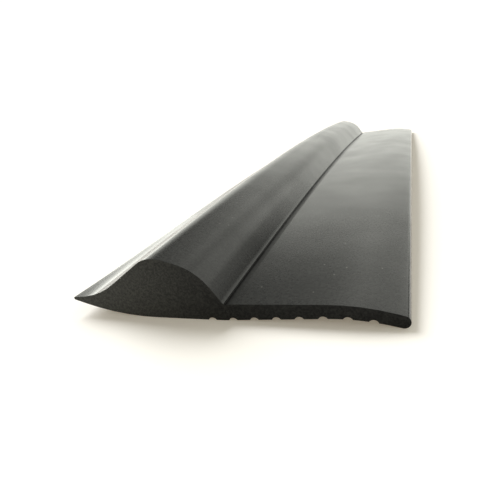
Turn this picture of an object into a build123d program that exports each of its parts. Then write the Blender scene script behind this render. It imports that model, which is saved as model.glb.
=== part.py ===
from build123d import *
import os
from math import cos, dist, radians, sin, tan

# A garage door threshold strip: one extruded length of solid black rubber.
# Its section runs from a thin toe up a hollow ramp to the rounded crest of the hump, over the
# shoulder and down a steep flank to the crease, then out along a thin tail to a rounded edge.
# The rubber is at rest, not glued down: it sits on its belly and on the tail's edge, with the
# toe lifted and the tail slightly arched. The cut ends are square and sharp, as a knife leaves them.
#
# The strip lies along Y with the toe towards -X, and the floor is Z = 0. Millimetres and degrees.

# Overall sizes. The section's width is the sum of its three runs.
strip_length = 320
ramp_run = 25.1  # toe tip to crest
back_run = 15.9  # crest to crease
tail_width = 39.5  # crease to the tail's edge
crest_height = 15.3

# The toe's lip, which stands clear of the floor.
toe_lift = 4.2
toe_thickness = 0.7
toe_top_radius = 0.3
toe_bottom_radius = 0.35
lip_angle = 2.2
lip_top_run = 1.8  # straight part of the lip before the ramp starts to curve
lip_bottom_run = 3.4  # straight part of the lip before the belly starts to curve
belly_angle = 17.8

# The hump.
ramp_angle = 33.8
crest_radius = 7.7
shoulder_angle = 16.7
shoulder_radius = 13.7
flank_angle = 57.2

# The tail, at its thickest in the crease.
tail_thickness = 4.1
crease_radius = 0.3
top_rise_angle = 1.7
top_droop_angle = 14.6
top_droop_radius = 50
heel_inset = 0.5  # the flat belly ends this far before the crease
heel_radius = 40
underside_rise_angle = 3.5
underside_droop_angle = 12.4
underside_droop_radius = 50
edge_radius = 1.4
edge_flat = 0.05  # what is left straight between the edge's two roundings

# The grooves that hold the adhesive, cut along the underside of the tail.
groove_pitch = 5.1
groove_width = 2
groove_depth = 0.6
groove_margin = 7.3  # tail's edge to the middle of the nearest groove
groove_overlap = 3.8  # how far the grooves reach past the crease, under the hump


def crossing(point, angle, other_point, other_angle):
    """Where two straight lines meet, each given by a point on it and its slope in degrees."""
    slope = tan(radians(angle))
    other_slope = tan(radians(other_angle))
    rise = other_point[1] - point[1]
    x = (rise + slope * point[0] - other_slope * other_point[0]) / (slope - other_slope)
    return (x, point[1] + slope * (x - point[0]))


def radius_for(leg, turn):
    """The radius of a rounding that takes up this much of each side of a corner."""
    return leg / tan(radians(turn / 2))


# The section is a closed outline of straight faces with rounded corners. X is measured from the
# toe tip and Y is the height above the floor.
crease_x = ramp_run + back_run
section_width = crease_x + tail_width

toe_bottom = (0, toe_lift)
toe_top = (0, toe_lift + toe_thickness)

# The corner over the crest is placed so that its rounding tops out at the crest's own height.
crest_leg = crest_radius * tan(radians((ramp_angle + shoulder_angle) / 2))
ramp_sine, ramp_cosine = sin(radians(ramp_angle)), cos(radians(ramp_angle))
crest_corner = (
    ramp_run - crest_radius * ramp_sine + crest_leg * ramp_cosine,
    crest_height - crest_radius * (1 - ramp_cosine) + crest_leg * ramp_sine,
)
ramp_foot = crossing(toe_top, lip_angle, crest_corner, ramp_angle)
ramp_foot_radius = radius_for(dist(toe_top, ramp_foot) - lip_top_run, ramp_angle - lip_angle)

crease = (crease_x, tail_thickness)
shoulder = crossing(crest_corner, -shoulder_angle, crease, -flank_angle)

# The tail's edge is a full round that rests on the floor.
underside_droop = radians(underside_droop_angle)
edge_bottom_height = edge_radius * (1 - tan(underside_droop) - 1 / cos(underside_droop))
edge_bottom_leg = edge_radius * tan(radians(90 + underside_droop_angle) / 2)
edge_top_leg = edge_radius * tan(radians(90 - top_droop_angle) / 2)
edge_bottom = (section_width, edge_bottom_height)
edge_top = (section_width, edge_bottom_height + edge_bottom_leg + edge_flat + edge_top_leg)

heel = (crease_x - heel_inset, 0)
tail_top = crossing(crease, top_rise_angle, edge_top, -top_droop_angle)
tail_underside = crossing(heel, underside_rise_angle, edge_bottom, -underside_droop_angle)

belly_front = (toe_lift / tan(radians(belly_angle)), 0)
belly_radius = radius_for(dist(toe_bottom, belly_front) - lip_bottom_run, belly_angle)

corners_and_radii = [
    (toe_bottom, toe_bottom_radius),
    (toe_top, toe_top_radius),
    (ramp_foot, ramp_foot_radius),
    (crest_corner, crest_radius),
    (shoulder, shoulder_radius),
    (crease, crease_radius),
    (tail_top, top_droop_radius),
    (edge_top, edge_radius),
    (edge_bottom, edge_radius),
    (tail_underside, underside_droop_radius),
    (heel, heel_radius),
    (belly_front, belly_radius),
]

# Each groove is part of a circle whose middle lies below the underside of the tail. The grooves
# are spaced along the underside from the tail's edge inwards. The last ones lie under the hump.
groove_radius = (groove_depth**2 + (groove_width / 2) ** 2) / (2 * groove_depth)
groove_count = int((tail_width + groove_overlap - groove_margin) / groove_pitch) + 1
underside = FilletPolyline(
    edge_bottom,
    tail_underside,
    heel,
    belly_front,
    radius=[underside_droop_radius, heel_radius],
    mode=Mode.PRIVATE,
)
groove_middles = []
for row in range(groove_count):
    along = groove_margin + row * groove_pitch
    roofline = underside.position_at(along, position_mode=PositionMode.LENGTH)
    groove_middles.append((roofline.X, roofline.Y - (groove_radius - groove_depth)))

section_plane = Plane(origin=(-section_width / 2, 0, 0), x_dir=(1, 0, 0), z_dir=(0, -1, 0))

with BuildPart() as rubber_strip:
    with BuildSketch(section_plane) as section:
        with BuildLine() as outline:
            FilletPolyline(
                [corner for corner, radius in corners_and_radii],
                radius=[radius for corner, radius in corners_and_radii],
                close=True,
            )
        make_face()
        with Locations(groove_middles):
            Circle(groove_radius, mode=Mode.SUBTRACT)
    extrude(amount=strip_length / 2, both=True)

rubber_strip.part.label = "rubber_strip"

os.makedirs("parts", exist_ok=True)
export_step(rubber_strip.part, "parts/rubber_strip.step")
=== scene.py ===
import bpy
import bmesh
from math import atan, cos, exp, radians, sin
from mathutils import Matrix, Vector


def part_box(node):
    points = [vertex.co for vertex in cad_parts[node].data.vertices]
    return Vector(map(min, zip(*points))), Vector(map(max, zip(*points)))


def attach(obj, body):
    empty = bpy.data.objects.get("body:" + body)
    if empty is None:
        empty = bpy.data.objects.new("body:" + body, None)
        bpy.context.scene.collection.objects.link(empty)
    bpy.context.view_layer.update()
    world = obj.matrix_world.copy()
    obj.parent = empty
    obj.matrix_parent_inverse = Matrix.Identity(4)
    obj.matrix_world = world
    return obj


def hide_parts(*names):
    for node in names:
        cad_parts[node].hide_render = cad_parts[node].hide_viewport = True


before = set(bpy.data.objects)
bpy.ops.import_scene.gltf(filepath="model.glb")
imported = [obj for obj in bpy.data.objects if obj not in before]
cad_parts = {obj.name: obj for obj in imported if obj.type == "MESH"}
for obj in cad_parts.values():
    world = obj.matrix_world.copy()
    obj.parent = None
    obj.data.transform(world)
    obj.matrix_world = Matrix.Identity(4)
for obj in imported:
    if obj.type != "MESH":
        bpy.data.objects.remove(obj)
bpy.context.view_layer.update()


# ---- The rubber strip ----
# One length of solid black EPDM rubber, pushed hot through a die in this section, cured, wound on a
# roll and cut off with a knife. It keeps a little of the roll's curl, so a free length stands with
# its middle a few millimetres off the floor. It is held by nothing until its tail is glued down.
section_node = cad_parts["rubber_strip"]
toe_corner, tail_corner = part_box("rubber_strip")
near_end = toe_corner.y
half_length = tail_corner.y
curl_rise = 0.0036
half_curl = 2 * atan(curl_rise / half_length)  # angle from the middle of the strip to either end
curl_radius = half_length / sin(half_curl)
rows_along = 160
merge_distance = 1e-6

bpy.ops.object.select_all(action="DESELECT")
strip = bpy.data.objects.new("epdm_strip", section_node.data.copy())
bpy.context.collection.objects.link(strip)
strip.select_set(True)
bpy.context.view_layer.objects.active = strip
bpy.ops.object.mode_set(mode="EDIT")
bpy.ops.mesh.select_mode(type="FACE")
bpy.ops.mesh.select_all(action="SELECT")
bpy.ops.mesh.remove_doubles(threshold=merge_distance)
bpy.ops.mesh.customdata_custom_splitnormals_clear()


def is_cut(face):
    """Whether a face is part of either cut end, rather than of the strip's skin."""
    nearly_square = 0.9
    return abs(face.normal.y) > nearly_square


def select_faces(wanted):
    """Selects the faces of the mesh in edit mode for which wanted(face) is true, and no others."""
    bpy.ops.mesh.select_all(action="DESELECT")
    edited = bmesh.from_edit_mesh(bpy.context.object.data)
    for face in edited.faces:
        face.select_set(wanted(face))
    bmesh.update_edit_mesh(bpy.context.object.data)


# Only the near cut face is kept, as one whole face.
select_faces(lambda face: not is_cut(face) or face.normal.y > 0)
bpy.ops.mesh.delete(type="FACE")
bpy.ops.mesh.select_all(action="SELECT")
bpy.ops.mesh.dissolve_faces()

# The foot of the hump's flank flares into a thin lip, and a shallow gutter runs along the tail
# beside it, both from wear of the die's inner corner. The section is sliced there for a few more
# points, shaped, and made whole again. The crease is where the flank meets the top of the tail.
crease_x = 0.00075
crease_z = 0.0041
topside_z = 0.8 * crease_z  # near the crease, all points higher than this are on the top
lip_width = 0.0006
lip_height = 0.00011
lip_lean = radians(33)
lip_slices = 6
gutter_width = 0.0024
gutter_depth = 0.00034
gutter_slices = 8
slices = [crease_x - lip_width * step / lip_slices for step in range(1, lip_slices + 1)]
slices += [crease_x + gutter_width * step / gutter_slices for step in range(1, gutter_slices + 1)]
for x in slices:
    bpy.ops.mesh.select_all(action="SELECT")
    bpy.ops.mesh.bisect(plane_co=(x, 0, 0), plane_no=(1, 0, 0))
edited = bmesh.from_edit_mesh(strip.data)
for vertex in edited.verts:
    past_crease = vertex.co.x - crease_x
    on_top = vertex.co.z > topside_z
    if on_top and -lip_width < past_crease <= 0:
        swell = lip_height * (1 + past_crease / lip_width) ** 2
        vertex.co.x += swell * cos(lip_lean)
        vertex.co.z += swell * sin(lip_lean)
    if on_top and 0 < past_crease < gutter_width:
        vertex.co.z -= gutter_depth * (1 - past_crease / gutter_width) ** 2
bmesh.update_edit_mesh(strip.data)
bpy.ops.mesh.select_all(action="SELECT")
bpy.ops.mesh.dissolve_faces()

# The section is leaned back to meet the curl squarely, and spun to the other end about the middle
# of the curl's circle, far below the floor.
bpy.ops.transform.rotate(value=-half_curl, orient_axis="X", center_override=(0, near_end, 0))
bpy.ops.mesh.spin(
    steps=rows_along,
    angle=2 * half_curl,
    center=(0, 0, -curl_radius * cos(half_curl)),
    axis=(1, 0, 0),
)
bpy.ops.mesh.select_all(action="SELECT")
bpy.ops.mesh.remove_doubles(threshold=merge_distance)
bpy.ops.mesh.normals_make_consistent(inside=False)

# The knife leaves a crisp edge all round, broken by less than a tenth of a millimetre.
knife_edge = 0.00008
select_faces(is_cut)
bpy.ops.mesh.inset(thickness=knife_edge, depth=knife_edge / 2)
bpy.ops.object.mode_set(mode="OBJECT")

# The thin toe droops, most at its tip and not at all where the ramp begins. Beside the near cut the
# rubber has sprung straight again.
toe_droop = 0.0016
toe_reach = 0.014
sprung_length = 0.03
for vertex in strip.data.vertices:
    from_tip = vertex.co.x - toe_corner.x
    from_cut = max(0, vertex.co.y - near_end)
    if from_tip < toe_reach:
        bend = (1 - from_tip / toe_reach) ** 2
        vertex.co.z -= toe_droop * bend * (1 - exp(-from_cut / sprung_length))

# Edges that turn more sharply than this stay crisp: the knife's, the crease and the grooves.
sharpest_smooth = radians(40)
bpy.ops.object.shade_smooth_by_angle(angle=sharpest_smooth)


def linear(colour):
    """The linear RGBA of an sRGB hex colour such as 121211."""
    channels = [int(colour[i : i + 2], 16) / 255 for i in (0, 2, 4)]
    return (*[c / 12.92 if c <= 0.04045 else ((c + 0.055) / 1.055) ** 2.4 for c in channels], 1)


def add_node(tree, kind, settings=None, sockets=None):
    """Adds a node, sets its properties, and gives each named socket a value or a link."""
    node = tree.nodes.new(kind)
    for name, value in (settings or {}).items():
        setattr(node, name, value)
    for name, value in (sockets or {}).items():
        if isinstance(value, bpy.types.NodeSocket):
            tree.links.new(value, node.inputs[name])
        else:
            node.inputs[name].default_value = value
    return node


def new_material(name):
    """A material with no nodes in it yet."""
    material = bpy.data.materials.new(name)
    material.use_nodes = True
    material.node_tree.nodes.clear()
    return material


# The skin: carbon-filled EPDM as it leaves the die. It is a very dark grey, smooth enough to shine
# at a low angle and to go dull and nearly black seen from above, with fine lines along the strip.
skin = new_material("EPDM rubber, extruded")
tree = skin.node_tree
place = add_node(tree, "ShaderNodeTexCoord").outputs["Object"]

# Die lines are some 0.7 mm apart and many centimetres long.
line_pitch = 0.0007
line_length = 0.09
along_strip = add_node(
    tree,
    "ShaderNodeMapping",
    sockets={"Vector": place, "Scale": (1 / line_pitch, 1 / line_length, 1 / line_pitch)},
)
die_lines = add_node(
    tree,
    "ShaderNodeTexNoise",
    sockets={"Vector": along_strip.outputs["Vector"], "Scale": 1, "Detail": 3, "Roughness": 0.6},
)
# The skin's real grain is a few hundredths of a millimetre, too fine to show. It is drawn from
# 0.8 mm down, in relief and as paler flecks.
grain_size = 0.0008
grain = add_node(
    tree,
    "ShaderNodeTexNoise",
    sockets={"Vector": place, "Scale": 1 / grain_size, "Detail": 4, "Roughness": 0.7},
)
flecks = add_node(
    tree,
    "ShaderNodeMapRange",
    sockets={"Value": grain.outputs["Fac"], "From Min": 0.4, "From Max": 0.65},
)
# Wax bloom clouds the shine in patches about 20 mm across.
bloom_size = 0.02
bloom = add_node(
    tree, "ShaderNodeTexNoise", sockets={"Vector": place, "Scale": 1 / bloom_size, "Detail": 4}
)
cloudy_roughness = add_node(
    tree,
    "ShaderNodeMapRange",
    sockets={
        "Value": bloom.outputs["Fac"],
        "From Min": 0.3,
        "From Max": 0.7,
        "To Min": 0.36,
        "To Max": 0.44,
    },
)
streak_strength = 0.03
streaked_roughness = add_node(
    tree,
    "ShaderNodeMath",
    {"operation": "MULTIPLY_ADD"},
    {0: die_lines.outputs["Fac"], 1: streak_strength, 2: cloudy_roughness.outputs["Result"]},
)
black = add_node(
    tree,
    "ShaderNodeMix",
    {"data_type": "RGBA"},
    {"Factor": bloom.outputs["Fac"], "A": linear("121211"), "B": linear("171716")},
)
flecked_black = add_node(
    tree,
    "ShaderNodeMix",
    {"data_type": "RGBA"},
    {"Factor": flecks.outputs["Result"], "A": black.outputs["Result"], "B": linear("2a2a28")},
)
# Specks of pale dust, a quarter to half a millimetre across and a centimetre or so apart. There is
# one somewhere in each 4 mm cell, and the skin meets about a tenth of them.
speck_cell = 0.004
speck = add_node(tree, "ShaderNodeTexVoronoi", sockets={"Vector": place, "Scale": 1 / speck_cell})
dust = add_node(
    tree,
    "ShaderNodeMapRange",
    sockets={
        "Value": speck.outputs["Distance"],
        "From Min": 0.035,
        "From Max": 0.065,
        "To Min": 0.5,
        "To Max": 0,
    },
)
dusty_black = add_node(
    tree,
    "ShaderNodeMix",
    {"data_type": "RGBA"},
    {
        "Factor": dust.outputs["Result"],
        "A": flecked_black.outputs["Result"],
        "B": linear("8c8b84"),
    },
)
# The shine is a thin film of wax on the rubber, drawn as a coat. Bloom takes a little off it.
# Painted shade: the tail is given less shine beside the crease, where the hump shades it. It has
# less than half its shine there, and all of it again 2.6 mm out.
crease_line = 0.0002
crease_shade_width = 0.0026
coordinate = add_node(tree, "ShaderNodeSeparateXYZ", sockets={"Vector": place}).outputs
polish = add_node(
    tree,
    "ShaderNodeMapRange",
    sockets={
        "Value": bloom.outputs["Fac"],
        "From Min": 0.3,
        "From Max": 0.7,
        "To Min": 0.95,
        "To Max": 0.78,
    },
)
tail_side = add_node(
    tree,
    "ShaderNodeMapRange",
    sockets={
        "Value": coordinate["X"],
        "From Min": crease_x,
        "From Max": crease_x + crease_line,
    },
)
# Painted shade on the tail beside the crease: the coat is thinned there.
crease_painted_shade = add_node(
    tree,
    "ShaderNodeMapRange",
    {"interpolation_type": "SMOOTHSTEP"},
    {
        "Value": coordinate["X"],
        "From Min": crease_x,
        "From Max": crease_x + crease_shade_width,
        "To Min": 0.55,
        "To Max": 0,
    },
)
tail_painted_shade = add_node(
    tree,
    "ShaderNodeMath",
    {"operation": "MULTIPLY"},
    {0: tail_side.outputs["Result"], 1: crease_painted_shade.outputs["Result"]},
)
gloss = add_node(
    tree,
    "ShaderNodeMath",
    {"operation": "SUBTRACT"},
    {0: polish.outputs["Result"], 1: tail_painted_shade.outputs["Value"]},
)
line_relief = add_node(
    tree,
    "ShaderNodeBump",
    sockets={"Height": die_lines.outputs["Fac"], "Distance": 0.00002, "Strength": 0.35},
)
relief = add_node(
    tree,
    "ShaderNodeBump",
    sockets={
        "Height": grain.outputs["Fac"],
        "Distance": 0.00001,
        "Strength": 0.5,
        "Normal": line_relief.outputs["Normal"],
    },
)
surface = add_node(
    tree,
    "ShaderNodeBsdfPrincipled",
    sockets={
        "Base Color": dusty_black.outputs["Result"],
        "Roughness": streaked_roughness.outputs["Value"],
        "IOR": 1.52,
        "Specular IOR Level": 0.05,
        "Normal": relief.outputs["Normal"],
        "Coat Weight": gloss.outputs["Value"],
        "Coat Roughness": 0.08,
        "Coat IOR": 1.5,
        "Coat Normal": relief.outputs["Normal"],
    },
)
add_node(tree, "ShaderNodeOutputMaterial", sockets={"Surface": surface.outputs["BSDF"]})

# The cut faces: the same rubber opened by a knife. They are matt, because the blade tears the
# surface finely. Light and shade are painted on: paler on the hump towards the toe, where the floor
# lights it, and near-black on the tail, in the floor's shadow.
cut = new_material("EPDM rubber, knife-cut")
tree = cut.node_tree
place = add_node(tree, "ShaderNodeTexCoord").outputs["Object"]
coordinate = add_node(tree, "ShaderNodeSeparateXYZ", sockets={"Vector": place}).outputs
lit_up_to = -0.03
shaded_from = 0.006
# Painted light: 1 on the hump towards the toe, falling to nothing just past the crease.
painted_light_share = add_node(
    tree,
    "ShaderNodeMapRange",
    {"interpolation_type": "SMOOTHSTEP"},
    {
        "Value": coordinate["X"],
        "From Min": lit_up_to,
        "From Max": shaded_from,
        "To Min": 1,
        "To Max": 0,
    },
)
# The tears are about 0.1 mm, drawn at 0.5 mm so that they show. Paler and darker patches are some
# 2 mm across.
tear_size = 0.0005
patch_size = 0.0022
tear = add_node(
    tree,
    "ShaderNodeTexNoise",
    sockets={"Vector": place, "Scale": 1 / tear_size, "Detail": 6, "Roughness": 0.7},
)
mottle = add_node(
    tree,
    "ShaderNodeTexNoise",
    sockets={"Vector": place, "Scale": 1 / patch_size, "Detail": 4, "Roughness": 0.6},
)
tear_contrast = add_node(
    tree,
    "ShaderNodeMapRange",
    sockets={"Value": tear.outputs["Fac"], "From Min": 0.42, "From Max": 0.6, "To Max": 0.7},
)
mottle_share = 0.3
speckle = add_node(
    tree,
    "ShaderNodeMath",
    {"operation": "MULTIPLY_ADD"},
    {0: mottle.outputs["Fac"], 1: mottle_share, 2: tear_contrast.outputs["Result"]},
)
# A shaded and a lit copy of the cut's black, mixed by the painted light.
shaded_cut_black = add_node(
    tree,
    "ShaderNodeMix",
    {"data_type": "RGBA"},
    {"Factor": speckle.outputs["Value"], "A": linear("010101"), "B": linear("272725")},
)
lit_cut_black = add_node(
    tree,
    "ShaderNodeMix",
    {"data_type": "RGBA"},
    {"Factor": speckle.outputs["Value"], "A": linear("282826"), "B": linear("464641")},
)
cut_black = add_node(
    tree,
    "ShaderNodeMix",
    {"data_type": "RGBA"},
    {
        "Factor": painted_light_share.outputs["Result"],
        "A": shaded_cut_black.outputs["Result"],
        "B": lit_cut_black.outputs["Result"],
    },
)
relief = add_node(
    tree,
    "ShaderNodeBump",
    sockets={"Height": tear.outputs["Fac"], "Distance": 0.0003, "Strength": 0.8},
)
surface = add_node(
    tree,
    "ShaderNodeBsdfPrincipled",
    sockets={
        "Base Color": cut_black.outputs["Result"],
        "Roughness": 0.6,
        "IOR": 1.52,
        "Specular IOR Level": 0.15,
        "Normal": relief.outputs["Normal"],
    },
)
add_node(tree, "ShaderNodeOutputMaterial", sockets={"Surface": surface.outputs["BSDF"]})

strip.data.materials.clear()
strip.data.materials.append(skin)
strip.data.materials.append(cut)
for face in strip.data.polygons:
    if is_cut(face):
        face.material_index = 1
        face.use_smooth = False
    else:
        face.material_index = 0
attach(strip, "root")
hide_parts("rubber_strip")


# ---- The floor ----
# A wide sheet of matt white paper on which the strip lies. Paper scatters light evenly, so the
# strip isn't mirrored in it. A faint warm glow keeps the strip's shadow soft and warm.
floor_width = 40
bpy.ops.object.select_all(action="DESELECT")
bpy.ops.mesh.primitive_plane_add(size=floor_width)
floor = bpy.context.object
floor.name = "floor"
white = new_material("white paper")
tree = white.node_tree
surface = add_node(
    tree,
    "ShaderNodeBsdfPrincipled",
    sockets={
        "Base Color": linear("f2f1ee"),
        "Roughness": 0.9,
        "Emission Color": linear("ffedcf"),
        "Emission Strength": 0.2,
    },
)
add_node(tree, "ShaderNodeOutputMaterial", sockets={"Surface": surface.outputs["BSDF"]})
floor.data.materials.append(white)


# ---- The light ----
# A large soft window high on the left behind the strip, in a pale room. The walls are brightest low
# down, most of all below the window, and darker high on the left and in front. The rubber's shine
# mirrors this room but not the window itself.
towards_window = Vector((-0.64, 0.5, 0.59))
bpy.ops.object.light_add(type="SUN", rotation=towards_window.to_track_quat("Z", "Y").to_euler())
window = bpy.context.object
window.data.energy = 4.0
window.data.angle = radians(42)
window.visible_glossy = False

room = bpy.data.worlds.new("room")
room.use_nodes = True
tree = room.node_tree
tree.nodes.clear()
direction = add_node(tree, "ShaderNodeTexCoord").outputs["Generated"]
coordinate = add_node(tree, "ShaderNodeSeparateXYZ", sockets={"Vector": direction}).outputs

# Each level goes smoothly from one value to another as the direction turns right (X), away (Y) or
# up (Z): its name, the axis, where it starts and ends, and its first and last values.
level_table = (
    ("low wall", "Z", 0.2, 0.46, 1, 0),
    ("high wall", "X", -0.4, 0.14, 0.25, 1),
    ("under window", "X", -0.7, -0.4, 1.8, 0),
    ("sill", "Z", 0.02, 0.22, 1, 0),
    ("doorway left", "X", 0.26, 0.46, 0, 0.85),
    ("doorway right", "X", 0.55, 0.85, 1, 0),
    ("doorway foot", "Z", 0.04, 0.14, 0, 1),
    ("doorway head", "Z", 0.15, 0.38, 1, 0),
    ("shade left", "X", -0.05, 0.12, 0, 0.22),
    ("shade right", "X", 0.14, 0.3, 1, 0),
    ("shade foot", "Z", 0.17, 0.26, 0, 1),
    ("front", "Y", -0.3, 0.4, 0.4, 0),
    ("front foot", "Z", 0.06, 0.2, 0, 1),
    ("ceiling", "Z", 0.6, 0.9, 1, 0.4),
)
levels = {}
for name, axis, start, end, first, last in level_table:
    levels[name] = add_node(
        tree,
        "ShaderNodeMapRange",
        {"interpolation_type": "SMOOTHSTEP"},
        {
            "Value": coordinate[axis],
            "From Min": start,
            "From Max": end,
            "To Min": first,
            "To Max": last,
        },
    ).outputs["Result"]

# Patches of the room, each the product of two levels: its name and the two, in the order made.
product_table = (
    ("window glow", "under window", "sill"),
    ("doorway width", "doorway left", "doorway right"),
    ("doorway height", "doorway foot", "doorway head"),
    ("doorway", "doorway width", "doorway height"),
    ("shade width", "shade left", "shade right"),
    ("wall shade", "shade width", "shade foot"),
    ("dark front", "front", "front foot"),
)
for name, first, second in product_table:
    levels[name] = add_node(
        tree, "ShaderNodeMath", {"operation": "MULTIPLY"}, {0: levels[first], 1: levels[second]}
    ).outputs["Value"]

# The window's glow adds to the walls' brightness. The doorway, the shade and the dark front each
# take their share away, and the ceiling dims what is overhead.
low_wall_brightness = 1.09
walls = add_node(
    tree,
    "ShaderNodeMix",
    sockets={"Factor": levels["low wall"], "A": levels["high wall"], "B": low_wall_brightness},
).outputs["Result"]
brightness = add_node(
    tree, "ShaderNodeMath", {"operation": "ADD"}, {0: walls, 1: levels["window glow"]}
).outputs["Value"]
for name in ("doorway", "wall shade", "dark front"):
    remaining = add_node(
        tree, "ShaderNodeMath", {"operation": "SUBTRACT"}, {0: 1, 1: levels[name]}
    ).outputs["Value"]
    brightness = add_node(
        tree, "ShaderNodeMath", {"operation": "MULTIPLY"}, {0: brightness, 1: remaining}
    ).outputs["Value"]
brightness = add_node(
    tree, "ShaderNodeMath", {"operation": "MULTIPLY"}, {0: brightness, 1: levels["ceiling"]}
).outputs["Value"]
sky = add_node(
    tree, "ShaderNodeBackground", sockets={"Color": linear("fefff6"), "Strength": brightness}
)
add_node(tree, "ShaderNodeOutputWorld", sockets={"Surface": sky.outputs["Background"]})
bpy.context.scene.world = room

# Colours show as they are set, with no film curve over them.
bpy.context.scene.view_settings.view_transform = "Standard"


# ---- The camera ----
# Close to the near end and a little above the strip, in line with the edge of its tail. It looks
# along the strip, a little down and towards the toe, and leans slightly to one side.
camera_place = (0.040838, -0.242434, 0.047262)
camera_turn = [radians(degrees) for degrees in (70.881, 7.450, 18.651)]
bpy.ops.object.camera_add(location=camera_place, rotation=camera_turn)
camera = bpy.context.object
camera.data.sensor_width = 36
camera.data.lens = 32.4
camera.data.clip_start = 0.005
camera.data.clip_end = 100
bpy.context.scene.camera = camera
